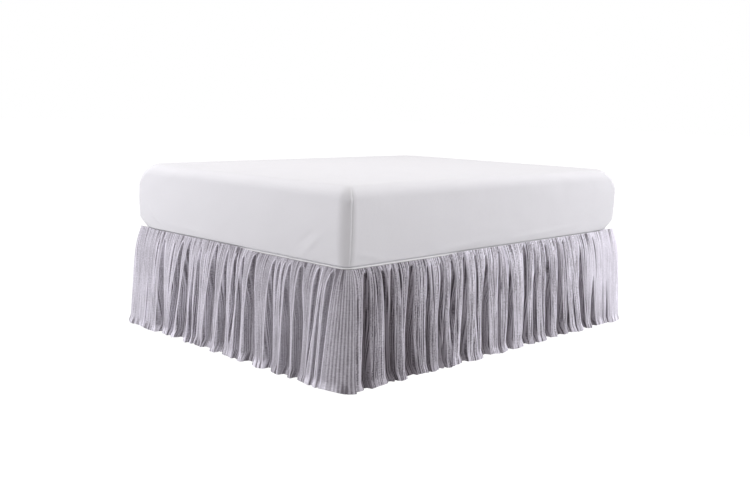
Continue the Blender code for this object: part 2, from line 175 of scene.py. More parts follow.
def shaderGroup(name, inputs, outputs):
    # a node group with named sockets, and its two end nodes
    group = bpy.data.node_groups.new(name, 'ShaderNodeTree')
    for label, kind in inputs:
        group.interface.new_socket(label, in_out='INPUT', socket_type=kind)
    for label, kind in outputs:
        group.interface.new_socket(label, in_out='OUTPUT', socket_type=kind)
    return group, group.nodes.new('NodeGroupInput'), group.nodes.new('NodeGroupOutput')


def mathNode(tree, operation, first, second=None, third=None):
    # one operation on up to three inputs, each a number or another node's output
    node = tree.nodes.new('ShaderNodeMath')
    node.operation = operation
    for socket, value in zip(node.inputs, (first, second, third)):
        if value is None:
            continue
        if isinstance(value, (int, float)):
            socket.default_value = value
        else:
            tree.links.new(value, socket)
    return node.outputs[0]


def noiseNode(tree, vector, scale, detail, stretch=None):
    # stretch multiplies the coordinates first, to draw the grains out
    if stretch is not None:
        mapping = tree.nodes.new('ShaderNodeMapping')
        mapping.inputs["Scale"].default_value = stretch
        tree.links.new(vector, mapping.inputs["Vector"])
        vector = mapping.outputs[0]
    node = tree.nodes.new('ShaderNodeTexNoise')
    node.inputs["Scale"].default_value = scale
    node.inputs["Detail"].default_value = detail
    tree.links.new(vector, node.inputs["Vector"])
    return node.outputs["Fac"]


def buildWeaveGroup():
    # over-and-under threads from two crossed sines of the cloth coordinates;
    # slubs are noise drawn out along each thread
    group, source, target = shaderGroup(
        "threadWeave",
        [("Vector", 'NodeSocketVector'), ("Threads", 'NodeSocketFloat'), ("Slub", 'NodeSocketFloat')],
        [("Height", 'NodeSocketFloat'), ("Slubs", 'NodeSocketFloat')])
    split = group.nodes.new('ShaderNodeSeparateXYZ')
    group.links.new(source.outputs["Vector"], split.inputs[0])
    threads = source.outputs["Threads"]
    warp = mathNode(group, 'SINE', mathNode(group, 'MULTIPLY', split.outputs["X"], threads))
    weft = mathNode(group, 'SINE', mathNode(group, 'MULTIPLY', split.outputs["Y"], threads))
    cross = mathNode(group, 'MULTIPLY', warp, weft)
    slubWarp = noiseNode(group, source.outputs["Vector"], 1.0, 2.0, (520.0, 26.0, 1.0))
    slubWeft = noiseNode(group, source.outputs["Vector"], 1.0, 2.0, (34.0, 460.0, 1.0))
    slubs = mathNode(group, 'ADD', slubWarp, mathNode(group, 'MULTIPLY', slubWeft, 0.8))
    slubs = mathNode(group, 'MULTIPLY', mathNode(group, 'SUBTRACT', slubs, 0.9), source.outputs["Slub"])
    height = mathNode(group, 'MULTIPLY_ADD', cross, 0.35, slubs)
    group.links.new(height, target.inputs["Height"])
    group.links.new(slubs, target.inputs["Slubs"])
    return group


def buildCreaseGroup():
    # soft creases: two sizes of noise, the smaller one sharpened towards its ridges
    group, source, target = shaderGroup(
        "softCrease",
        [("Vector", 'NodeSocketVector'), ("Scale", 'NodeSocketFloat')],
        [("Height", 'NodeSocketFloat')])
    scaled = group.nodes.new('ShaderNodeVectorMath')
    scaled.operation = 'SCALE'
    group.links.new(source.outputs["Vector"], scaled.inputs[0])
    group.links.new(source.outputs["Scale"], scaled.inputs["Scale"])
    wide = noiseNode(group, scaled.outputs[0], 1.0, 1.0)
    fine = noiseNode(group, scaled.outputs[0], 4.3, 2.0)
    ridge = mathNode(group, 'ABSOLUTE', mathNode(group, 'SUBTRACT', fine, 0.5))
    height = mathNode(group, 'MULTIPLY_ADD', ridge, -0.45, wide)
    group.links.new(height, target.inputs["Height"])
    return group


weaveGroup = buildWeaveGroup()
creaseGroup = buildCreaseGroup()


def groupNode(tree, group, **values):
    # a use of a shared group, with its inputs set by name
    node = tree.nodes.new('ShaderNodeGroup')
    node.node_tree = group
    for label, value in values.items():
        if isinstance(value, (int, float)):
            node.inputs[label].default_value = value
        else:
            tree.links.new(value, node.inputs[label])
    return node


def newMaterial(name, roughness, sheen=0.0, specular=0.5):
    # a non-metallic material with its constants set on the shader itself
    material = bpy.data.materials.new(name)
    material.use_nodes = True
    shader = material.node_tree.nodes["Principled BSDF"]
    shader.inputs["Roughness"].default_value = roughness
    shader.inputs["Metallic"].default_value = 0.0
    shader.inputs["Specular IOR Level"].default_value = specular
    shader.inputs["Sheen Weight"].default_value = sheen
    shader.inputs["Sheen Roughness"].default_value = 0.5
    return material, material.node_tree, shader


def mixColour(tree, factor, low, high, blend='MIX'):
    # blend of two colours by a factor held between 0 and 1
    node = tree.nodes.new('ShaderNodeMix')
    node.data_type = 'RGBA'
    node.blend_type = blend
    node.clamp_factor = True
    tree.links.new(factor, node.inputs["Factor"])
    for socket, value in ((node.inputs["A"], low), (node.inputs["B"], high)):
        if isinstance(value, tuple):
            socket.default_value = (*value, 1.0)
        else:
            tree.links.new(value, socket)
    return node.outputs["Result"]


def bumpNode(tree, height, distance, strength=1.0, base=None):
    # tilts the normal by a height, on top of the bump in base where one is given
    node = tree.nodes.new('ShaderNodeBump')
    node.inputs["Strength"].default_value = strength
    node.inputs["Distance"].default_value = distance
    tree.links.new(height, node.inputs["Height"])
    if base is not None:
        tree.links.new(base, node.inputs["Normal"])
    return node.outputs["Normal"]


def uvNode(tree):
    # the piece's own cloth coordinates, in metres
    node = tree.nodes.new('ShaderNodeUVMap')
    node.uv_map = "cloth"
    return node.outputs["UV"]


def markNode(tree, name):
    # an attribute that makePanel stores on the cloth's points
    node = tree.nodes.new('ShaderNodeAttribute')
    node.attribute_name = name
    return node.outputs["Fac"]


# materials

# ridge and valley are the two ends of the cloth's colour, and the crinkle mark paints lit ridges and shaded
# valleys between them; the recess colour is painted shade
skirtLook = dict(
    ridge=(0.920, 0.898, 0.990), valley=(0.216, 0.201, 0.228), recess=(0.305, 0.286, 0.292),
    roughness=0.95, specular=0.12,
    threads=5200.0, slub=0.9, slubTone=0.45, weaveDepth=0.00035,
    crinkleShading=1.35, middleTone=0.53,
    streaks=(150.0, 5.0, 1.0), streakSlope=-6.5, streakTone=0.47,
    speckle=250.0, speckleStretch=(0.85, 0.8, 1.0), speckleGrain=2.4, speckleTone=0.35,
    patches=9.0, patchTone=0.3,
)


def makeSkirtCloth():
    # tone 0 is the valley's colour and 1 the ridge's: the crinkle mark, which is painted
    # light and shade, plus slubs, streaks, speckles and wide patches are added up; painted
    # shade is multiplied into the recesses after that
    look = skirtLook
    material, tree, shader = newMaterial("crinkledGauze", look["roughness"], specular=look["specular"])
    uv = uvNode(tree)
    weave = groupNode(tree, weaveGroup, Vector=uv, Threads=look["threads"], Slub=look["slub"])
    grain = markNode(tree, "grain")
    # fine bright lines where a noise drawn out down the cloth passes its middle
    streaks = noiseNode(tree, uv, 1.0, 3.0, look["streaks"])
    lines = mathNode(tree, 'ABSOLUTE', mathNode(tree, 'SUBTRACT', streaks, 0.5))
    lines = mathNode(tree, 'MULTIPLY_ADD', lines, look["streakSlope"], look["streakTone"])
    speckle = noiseNode(tree, uv, look["speckle"], 2.0, look["speckleStretch"])
    speckle = mathNode(tree, 'SUBTRACT', speckle, 0.5)
    speckleDepth = mathNode(tree, 'MULTIPLY_ADD', grain, look["speckleGrain"], look["speckleTone"])
    patches = noiseNode(tree, uv, look["patches"], 2.0)
    # the crinkle mark is painted light and shade: lit crinkle ridges, crests and corner ribs, shaded
    # crinkle valleys, gathers and tucks, and a painted lighter or darker cast
    crinkle = markNode(tree, "crinkle")
    tone = mathNode(tree, 'MULTIPLY_ADD', crinkle, look["crinkleShading"], look["middleTone"])
    parts = (
        mathNode(tree, 'MULTIPLY', weave.outputs["Slubs"], look["slubTone"]),
        mathNode(tree, 'MULTIPLY', lines, grain),
        mathNode(tree, 'MULTIPLY', speckle, speckleDepth),
        mathNode(tree, 'MULTIPLY_ADD', patches, look["patchTone"], -look["patchTone"] / 2),
    )
    for part in parts:
        tone = mathNode(tree, 'ADD', tone, part)
    colour = mixColour(tree, tone, look["valley"], look["ridge"])
    # painted shade: the recess colour is multiplied into the recesses and near the corner
    colour = mixColour(tree, markNode(tree, "recess"), colour, look["recess"], 'MULTIPLY')
    tree.links.new(colour, shader.inputs["Base Color"])
    tree.links.new(bumpNode(tree, weave.outputs["Height"], look["weaveDepth"]), shader.inputs["Normal"])
    return material


whiteFinish = dict(roughness=0.88, sheen=0.06, specular=0.25, slub=0.35, weaveDepth=0.0002, weaveShare=0.6)
# low and high are the two ends of the colour, creaseScale about the creases in a metre
whiteLooks = dict(
    knittedCover=dict(low=(0.668, 0.666, 0.690), high=(0.715, 0.713, 0.738),
                      threads=4200.0, creaseScale=7.0, creaseDepth=0.0016),
    deckCotton=dict(low=(0.75, 0.75, 0.76), high=(0.83, 0.83, 0.84),
                    threads=7000.0, creaseScale=14.0, creaseDepth=0.0012),
    boxTicking=dict(low=(0.66, 0.65, 0.63), high=(0.74, 0.73, 0.71),
                    threads=5200.0, creaseScale=9.0, creaseDepth=0.0012),
)


def makeWhiteCloth(name):
    # slubs move the colour a little; soft creases tilt the normal and paint a little shade, darker where
    # they lie lower
    look, finish = whiteLooks[name], whiteFinish
    material, tree, shader = newMaterial(name, finish["roughness"], finish["sheen"], finish["specular"])
    uv = uvNode(tree)
    weave = groupNode(tree, weaveGroup, Vector=uv, Threads=look["threads"], Slub=finish["slub"])
    crease = groupNode(tree, creaseGroup, Vector=uv, Scale=look["creaseScale"])
    tone = mathNode(tree, 'MULTIPLY_ADD', weave.outputs["Slubs"], 0.5, 0.5)
    # painted shade: the colour follows the crease height, darker where it is lower
    tone = mathNode(tree, 'ADD', tone, mathNode(tree, 'MULTIPLY_ADD', crease.outputs["Height"], 0.4, -0.2))
    tree.links.new(mixColour(tree, tone, look["low"], look["high"]), shader.inputs["Base Color"])
    normal = bumpNode(tree, crease.outputs["Height"], look["creaseDepth"])
    normal = bumpNode(tree, weave.outputs["Height"], finish["weaveDepth"], finish["weaveShare"], normal)
    tree.links.new(normal, shader.inputs["Normal"])
    return material


steelLook = dict(
    dark=(0.050, 0.050, 0.054), pale=(0.085, 0.085, 0.090),
    roughness=0.5, leastRoughness=0.36, cloudRoughness=0.25,
    grain=900.0, grainDepth=0.0003, grainShare=0.5, cloud=14.0,
)


def makeFrameSteel():
    # cloudy dark paint with a fine grain; the clouds also change the roughness
    look = steelLook
    material, tree, shader = newMaterial("powderCoatedSteel", look["roughness"])
    place = tree.nodes.new('ShaderNodeTexCoord').outputs["Object"]
    grain = noiseNode(tree, place, look["grain"], 2.0)
    cloud = noiseNode(tree, place, look["cloud"], 3.0)
    tree.links.new(mixColour(tree, cloud, look["dark"], look["pale"]), shader.inputs["Base Color"])
    roughness = mathNode(tree, 'MULTIPLY_ADD', cloud, look["cloudRoughness"], look["leastRoughness"])
    tree.links.new(roughness, shader.inputs["Roughness"])
    tree.links.new(bumpNode(tree, grain, look["grainDepth"], look["grainShare"]), shader.inputs["Normal"])
    return material


skirtCloth = makeSkirtCloth()
mattressCover = makeWhiteCloth("knittedCover")
deckCotton = makeWhiteCloth("deckCotton")
boxTicking = makeWhiteCloth("boxTicking")
frameSteel = makeFrameSteel()
print("materials made")

# gathered panels

panelLook = dict(
    top=0.4527, hem=0.0045, splitAngle=58.0, splitGap=0.0012, returnLength=0.10, cutDrop=0.47,
    rowBands=((0.0, 0.08, 7), (0.08, 0.86, 24), (0.86, 1.0, 14)),  # from, to, rows
    clothLevel=0.6,  # share of the drop at which the cloth's length is measured
    base=0.001, belly=0.029, bellyRun=0.095, slope=0.031, kick=0.005, kickRun=0.07,
    valley=0.003, nearest=0.0012,  # nearest a fold and any cloth come to the bed's edge
    lowest=0.0015, uvDrop=0.45,  # least height above the floor, and the drop in cloth coordinates
    sway=0.0035, swayPitch=0.21, edgeRun=0.040,
    quiet=0.70, quietRun=0.10,  # how far the far end hangs calmer
    lap=0.010, lapRun=0.02, lapOut=0.0032, lapOutHem=0.0080,  # how the foot panel covers its neighbours
    coverFrom=0.50, coverRise=0.0078, coverOut=0.0032, coverDrop=0.05,  # heading that hides the binding
    # crestHeight raises the crests, and crestHighlight paints a highlight on them
    crestHeight=0.0024, crestHighlight=1.0,
    # the corner ribs are raised by cornerHeight, and cornerRibShading paints light on their ridges and
    # shade between them
    cornerReach=0.050, cornerPitch=0.0056, cornerHeight=0.0009, cornerRibShading=0.19, cornerBeat=0.021,
    ribPitch=0.030, ribSharp=4,  # rounded upright ribs all along the cloth
    # narrow troughs that fade below the heading, with painted shade in them by gatherShade
    gatherPitch=0.013, gatherDepth=0.0070, gatherDrop=0.11, gatherSharp=7, gatherShade=0.85,
    ruffleHeight=0.0038, rufflePitch=0.0165, ruffleRun=0.12,
    wave=0.0030, endLift=0.004, hollowLift=0.0020, ruffleLift=0.0016, hollowDepth=0.030,
    hemFold=0.016, hemThick=0.0005, stitchDepth=0.0006, stitchWidth=0.0025,
)
crinkleLook = dict(
    pitch=0.0088, height=0.0019, secondPitch=1.31, sharp=1.7, drift=0.8, driftPitch=0.05,
    first=0.45, second=0.24, peak=0.20, level=0.33,
    thread=0.22, threadPitch=0.0052, patch=0.30, patchPitch=0.03,
    # tuckShading paints the light and shade of small tucks along the hem
    tuckShading=0.50, tuckPitch=0.0075, cornerCalm=0.75,
    endFrom=1.40, endRun=0.3, nearTo=0.55, nearRun=0.35,  # where calm and calmNear act
    # paintedLightFrom and paintedLightRun: where the painted lighter cast away from the near corner sets in
    paintedLightFrom=0.35, paintedLightRun=0.75,
)

# each recess: distance of its middle from the near foot corner at the heading, half
# way and at the hem, share of the drop where it opens, width just below the
# heading, half way and at the hem
foldColumns = ("heading", "middle", "hem", "opens", "topWidth", "middleWidth", "hemWidth")
footFolds = (
    (0.058, 0.067, 0.073, 0.01, 0.030, 0.027, 0.018), (0.092, 0.102, 0.110, 0.10, 0.004, 0.017, 0.018),
    (0.127, 0.134, 0.148, 0.00, 0.024, 0.020, 0.003), (0.230, 0.209, 0.201, 0.02, 0.026, 0.055, 0.058),
    (0.290, 0.278, 0.268, 0.02, 0.022, 0.046, 0.056), (0.322, 0.312, 0.306, 0.02, 0.013, 0.004, 0.000),
    (0.350, 0.340, 0.332, 0.02, 0.018, 0.003, 0.000), (0.380, 0.377, 0.358, 0.02, 0.024, 0.042, 0.060),
    (0.503, 0.499, 0.480, 0.00, 0.030, 0.064, 0.074), (0.567, 0.566, 0.566, 0.04, 0.016, 0.037, 0.035),
    (0.619, 0.609, 0.611, 0.03, 0.018, 0.032, 0.010), (0.674, 0.673, 0.677, 0.03, 0.017, 0.047, 0.064),
    (0.753, 0.761, 0.773, 0.00, 0.026, 0.060, 0.075), (0.812, 0.815, 0.818, 0.06, 0.008, 0.003, 0.000),
    (0.857, 0.858, 0.854, 0.05, 0.014, 0.033, 0.026), (0.895, 0.893, 0.899, 0.10, 0.003, 0.019, 0.030),
    (0.946, 0.953, 0.964, 0.00, 0.023, 0.058, 0.067), (0.989, 1.021, 1.045, 0.03, 0.021, 0.051, 0.040),
    (1.050, 1.067, 1.078, 0.05, 0.010, 0.009, 0.000), (1.136, 1.132, 1.110, 0.05, 0.020, 0.040, 0.063),
    (1.170, 1.185, 1.190, 0.03, 0.013, 0.006, 0.000), (1.230, 1.233, 1.240, 0.30, 0.000, 0.008, 0.012),
)
sideFolds = (
    (0.093, 0.071, 0.069, 0.02, 0.032, 0.040, 0.062), (0.140, 0.128, 0.122, 0.01, 0.014, 0.000, 0.000),
    (0.172, 0.183, 0.196, 0.02, 0.024, 0.030, 0.036), (0.237, 0.212, 0.229, 0.02, 0.020, 0.032, 0.036),
    (0.271, 0.262, 0.262, 0.03, 0.016, 0.000, 0.000), (0.352, 0.314, 0.334, 0.02, 0.030, 0.048, 0.068),
    (0.436, 0.421, 0.427, 0.04, 0.018, 0.035, 0.038), (0.463, 0.450, 0.452, 0.02, 0.013, 0.000, 0.000),
    (0.522, 0.499, 0.485, 0.03, 0.020, 0.034, 0.026), (0.545, 0.524, 0.527, 0.35, 0.000, 0.010, 0.034),
    (0.592, 0.573, 0.566, 0.03, 0.026, 0.044, 0.012), (0.672, 0.652, 0.645, 0.02, 0.030, 0.038, 0.058),
    (0.700, 0.695, 0.694, 0.02, 0.008, 0.010, 0.004), (0.745, 0.735, 0.738, 0.02, 0.021, 0.022, 0.003),
    (0.822, 0.797, 0.800, 0.03, 0.022, 0.060, 0.065), (0.914, 0.892, 0.892, 0.02, 0.023, 0.034, 0.028),
    (0.960, 0.977, 0.962, 0.10, 0.010, 0.047, 0.062), (1.098, 1.090, 1.089, 0.01, 0.031, 0.036, 0.056),
    (1.176, 1.164, 1.168, 0.02, 0.019, 0.036, 0.036), (1.226, 1.220, 1.238, 0.02, 0.017, 0.017, 0.012),
    (1.257, 1.274, 1.268, 0.02, 0.022, 0.050, 0.064), (1.361, 1.370, 1.371, 0.02, 0.025, 0.046, 0.062),
    (1.410, 1.425, 1.446, 0.01, 0.022, 0.008, 0.026), (1.452, 1.468, 1.512, 0.30, 0.000, 0.008, 0.016),
    (1.543, 1.554, 1.586, 0.07, 0.014, 0.052, 0.065), (1.645, 1.655, 1.664, 0.40, 0.000, 0.018, 0.056),
    (1.667, 1.690, 1.705, 0.02, 0.016, 0.004, 0.000), (1.740, 1.745, 1.750, 0.45, 0.000, 0.005, 0.018),
    (1.780, 1.782, 1.790, 0.45, 0.000, 0.005, 0.026),
)

# near is the share of the depth lost in the rounding before a recess, tail the
# share left after its wall, which then fades over tailRun widths; the crests are
# the thin raised edges on either side. shade is painted shade on the cloth within
# near the corner and shadeFar far from it, tailShade painted shade on the cloth beside
# it, and paintedCornerShade painted shade on all the cloth near the corner. smooth and
# rough are the strength of the crinkles outside the recesses and in them, calmNear and
# calm how far they are weakened near the corner and at the far end, and grain the
# strength of streaks and speckles. tone and paintedLightFar are a painted lighter or
# darker cast for how the light falls, near the corner and far from it. The heading's
# cover rises further from endRise on and sinks again at endSink.
footShape = dict(
    near=0.22, tail=0.06, tailRun=0.8, nearCrest=0.5, farCrest=1.35, ribHeight=0.0020,
    shade=0.10, shadeFar=0.22, tailShade=0.0, paintedCornerShade=0.10,
    smooth=0.46, rough=1.10, calmNear=0.62, calm=0.0, grain=0.46, tone=-0.13, paintedLightFar=-0.06,
    endRise=1.22, endSink=1.350,
)
sideShape = dict(
    near=0.24, tail=0.34, tailRun=1.5, nearCrest=1.15, farCrest=0.4, ribHeight=0.0035,
    shade=1.0, shadeFar=0.74, tailShade=0.50, paintedCornerShade=0.54,
    smooth=2.2, rough=2.1, calmNear=0.0, calm=0.78, grain=0.45, tone=0.0, paintedLightFar=0.12,
    endRise=1.70, endSink=1.866,
)


# how every recess is cut: depth and walls follow its width, within these limits
foldLook = dict(
    mouth=0.03, mouthShare=0.7, topLevel=0.12, middleLevel=0.50, hemLevel=0.92, endShare=0.85,
    depthShare=0.66, deepest=0.036, hemLoss=0.22, hemRun=0.12,
    wallShare=0.20, wallLeast=0.0015, roundShare=0.5, roundMost=0.016, roundLeast=0.002,
    tailLeast=0.004, tailPower=1.8, fullWidth=0.014, shadeEdge=0.004,
    nearCrestAt=0.0026, nearCrestWidth=0.0024, farCrestAt=0.0018, cornerRun=0.8,
)


def skin(down):
    # how far the ridges stand out: a quick belly, a slope and a kick at the hem
    look = panelLook
    return (look["base"] + look["belly"] * (1 - np.exp(-down / look["bellyRun"])) + look["slope"] * down
            + look["kick"] * smoothStep((down - (1 - look["kickRun"])) / look["kickRun"]))


def foldDip(folds, middle, down, shape):
    # each recess is a channel between two edges that part from its opening: a
    # drop on the side of the near corner, a floor, and a steep wall. Recesses are
    # joined by the cube root of the sum of their cubes; gives the depth and masks
    # of the crests, of the painted shade on the cloth and of the recesses' floors
    look = foldLook
    total, crest, shade, floor = 0.0, 0.0, 0.0, 0.0
    for row in folds:
        fold = dict(zip(foldColumns, row))
        levels = [fold["opens"], fold["opens"] + look["mouth"], look["topLevel"], look["middleLevel"],
                  look["hemLevel"], 1.0]
        levels = np.maximum.accumulate(levels) + 0.001 * np.arange(6)  # kept apart for interp
        top, hem = fold["topWidth"], fold["hemWidth"]
        widths = [0, look["mouthShare"] * top, top, fold["middleWidth"], hem, look["endShare"] * hem]
        width = np.interp(down, levels, widths)
        hemFade = 1 - look["hemLoss"] * smoothStep((down - (1 - look["hemRun"])) / look["hemRun"])
        depth = np.minimum(look["depthShare"] * width, look["deepest"]) * hemFade
        half, run = width / 2, look["wallShare"] * width + look["wallLeast"]
        before, after = -half - (middle - fold["middle"]), (middle - fold["middle"]) - half
        inside = smoothStep(-before / run) * smoothStep(-after / run)
        rounding = np.minimum(look["roundShare"] * width, look["roundMost"]) + look["roundLeast"]
        near = shape["near"] * np.clip(1 - before / rounding, 0, 1) ** 2 * (after < -half)
        fade = 1 - np.clip((after + run) / (shape["tailRun"] * width + look["tailLeast"]), 0, 1)
        tail = fade ** look["tailPower"] * (before < -half)
        total = total + (depth * np.maximum(np.maximum(inside, near), shape["tail"] * tail)) ** 3
        strength = np.clip(width / look["fullWidth"], 0, 1)
        crests = shape["nearCrest"] * bell(before, look["nearCrestAt"], look["nearCrestWidth"])
        crests = crests + shape["farCrest"] * bell(after, look["farCrestAt"], look["farCrestAt"])
        crest = crest + strength * crests
        inner = smoothStep(0.5 - before / look["shadeEdge"]) * smoothStep(0.5 - after / look["shadeEdge"])
        floor = np.maximum(floor, strength * inner)
        inner = np.maximum(inner, shape["tailShade"] * fade * (before < -half))
        shade = np.maximum(shade, strength * inner)
    # the shade mask becomes painted shade, stronger near the corner than far from it, plus painted shade on
    # all the cloth near the corner
    farther = smoothStep(middle / look["cornerRun"])
    shade = shade * (shape["shade"] + (shape["shadeFar"] - shape["shade"]) * farther)
    shade = np.maximum(shade, 0) + shape["paintedCornerShade"] * (1 - farther) * (1 - shade)
    return np.cbrt(total), crest, shade, floor


def foldShift(folds, middle, down, start, end):
    # sideways slide that makes the cloth's columns follow the leaning folds: a
    # parabola down the drop through each recess's three places
    at = np.array([start] + [row[1] for row in folds] + [end])
    up = np.interp(middle, at, [0.0] + [row[0] - row[1] for row in folds] + [0.0])
    low = np.interp(middle, at, [0.0] + [row[2] - row[1] for row in folds] + [0.0])
    turn = 2.0 * down - 1.0
    return 0.5 * turn * (turn - 1.0) * up + 0.5 * turn * (turn + 1.0) * low


def panelGrid(folds, shape, start, end, columns):
    # rows lie closer at the heading and the hem; columns are evenly spaced along
    # the folded cloth, whose length is summed up from its steps out and along
    look = panelLook
    bands = [np.linspace(*band, endpoint=False) for band in look["rowBands"]]
    down = np.concatenate([*bands, [1.0]])[:, None]
    fine = np.linspace(start, end, 9000)
    rise = np.gradient(foldDip(folds, fine, np.full_like(fine, look["clothLevel"]), shape)[0], fine)
    run = np.concatenate([[0], np.cumsum(np.hypot(1, rise)[:-1] * np.diff(fine))])
    cloth = np.linspace(0, run[-1], columns)[None, :]
    return down, cloth, np.interp(cloth, run, fine)


def headingCover(middle, farther, shape, coverStart):
    # 0 to 1.8: the heading rises over the binding away from the near corner, more
    # near the far corner, and sinks past the corner at the panel's end
    rise = smoothStep((farther - panelLook["coverFrom"]) / 0.15)
    cover = rise + 0.8 * smoothStep((farther - shape["endRise"]) / 0.10)
    cover = cover * (1 - smoothStep((middle - shape["endSink"]) / 0.025))
    if coverStart is not None:
        cover = cover * smoothStep((middle - coverStart) / 0.10)
    return cover


def lapOver(middle, down, start, end):
    # the foot panel's ends stand out over the side panels, further at the hem
    look = panelLook
    reach = look["lap"] + look["lapRun"]
    lapAt = np.maximum(start + reach - middle, middle - end + reach)
    lapOut = look["lapOut"] + (look["lapOutHem"] - look["lapOut"]) * smoothStep((down - 0.8) / 0.2)
    return lapOut * smoothStep(lapAt / look["lapRun"])


def crinkles(cloth, down, cornerZone, seed):
    # two families of narrow upright ridges that drift in and out of step, with
    # loose threads between them; weaker round the near corner
    look = crinkleLook
    drift = look["drift"] * softNoise(cloth / look["driftPitch"], down * 1.6, seed + 4)
    drift = drift * (1 - 0.8 * cornerZone)
    turn = 2 * math.pi * (cloth / look["pitch"] + drift)
    first = (0.5 + 0.5 * np.cos(turn)) ** look["sharp"]
    turn = 2 * math.pi * (cloth / (look["pitch"] * look["secondPitch"]) - drift + 0.3)
    second = (0.5 + 0.5 * np.cos(turn)) ** look["sharp"]
    patch = 1 - look["patch"] + look["patch"] * softNoise(cloth / look["patchPitch"], down * 3.0, seed + 5)
    thread = softNoise(cloth / look["threadPitch"], down * 4.0, seed + 8)
    ridges = look["first"] * first + look["second"] * second + look["peak"] * first ** 4 - look["level"]
    ridges = (ridges + look["thread"] * thread * (1 - cornerZone)) * patch
    return ridges * (1 - look["cornerCalm"] * cornerZone)


def crinkleStrength(farther, floor, shape):
    # stronger on a recess's floor, weaker near the corner and at the far end
    look = crinkleLook
    strength = shape["smooth"] + (shape["rough"] - shape["smooth"]) * floor
    strength = strength * (1 - shape["calm"] * smoothStep((farther - look["endFrom"]) / look["endRun"]))
    return strength * (1 - shape["calmNear"] * smoothStep((look["nearTo"] - farther) / look["nearRun"]))


def noiseRidge(u, v, seed, sharp):
    # a narrow ridge of height 1 where a noise crosses zero
    return (1 - np.abs(softNoise(u, v, seed))) ** sharp


def hangOut(middle, down, edge, dip, crest, seed):
    # skin with a slow sway, less the recesses, which are eased so that they stop
    # short of the bed's edge, plus the crests beside them
    look = panelLook
    sway = look["sway"] * softNoise(middle / look["swayPitch"], down * 1.4, seed)
    ridge = skin(down) + sway * smoothStep(down / 0.3) * edge
    room = np.maximum(ridge - look["valley"], 1e-6)
    return ridge - room * np.tanh(dip * (0.10 + 0.90 * edge) / room) + look["crestHeight"] * crest * edge


def cornerRibs(middle, down, cornerZone, seed):
    # a cosine along the bed whose beat wanders, so that straight ribs fan out
    beat = softNoise(middle / panelLook["cornerBeat"], down * 0.4, seed + 6)
    return np.cos(2 * math.pi * middle / panelLook["cornerPitch"] + 1.8 * beat) * cornerZone


def clothHeight(middle, down, edge, hollow, ruffle, endLift):
    # even steps from the heading to the hem, which waves up and down and hangs a
    # little higher where the cloth is hollow
    look = panelLook
    wave = look["wave"] * (1 + np.sin(middle * 41.0 + 1.3 * np.sin(middle * 13.0)))
    lift = wave * edge + endLift * (1 - edge) + look["hollowLift"] * hollow
    lift = (lift + look["ruffleLift"] * ruffle * edge) * smoothStep((down - 0.5) / 0.5)
    return look["top"] - (look["top"] - look["hem"]) * down + np.maximum(lift, -0.002)


def turnedHem(down):
    # a hair thicker below the stitch line, which is a shallow groove
    look = panelLook
    hemAt = 1 - look["hemFold"] / (look["top"] - look["hem"])
    return (look["hemThick"] * smoothStep((down - hemAt) / 0.004),
            look["stitchDepth"] * bell(down, hemAt, look["stitchWidth"]))


def paintedShading(cloth, farther, down, crinkle, cornerRib, crest, gather, shape, seed):
    # painted light and shade: a painted lighter or darker cast for how the light falls,
    # plus the crinkles' light and shade and the corner ribs' and crests' painted light,
    # less the painted shade of the gathers, plus the tucks' light and shade
    look, fine = panelLook, crinkleLook
    paintedLight = smoothStep((farther - fine["paintedLightFrom"]) / fine["paintedLightRun"])
    paintedLight = shape["tone"] + (shape["paintedLightFar"] - shape["tone"]) * paintedLight
    tucks = softNoise(cloth / fine["tuckPitch"], down * 3.0, seed + 9) * smoothStep((down - 0.90) / 0.08)
    tone = paintedLight + crinkle + look["cornerRibShading"] * cornerRib + look["crestHighlight"] * crest
    return tone - look["gatherShade"] * gather * np.exp(-down / 0.12) + fine["tuckShading"] * tucks


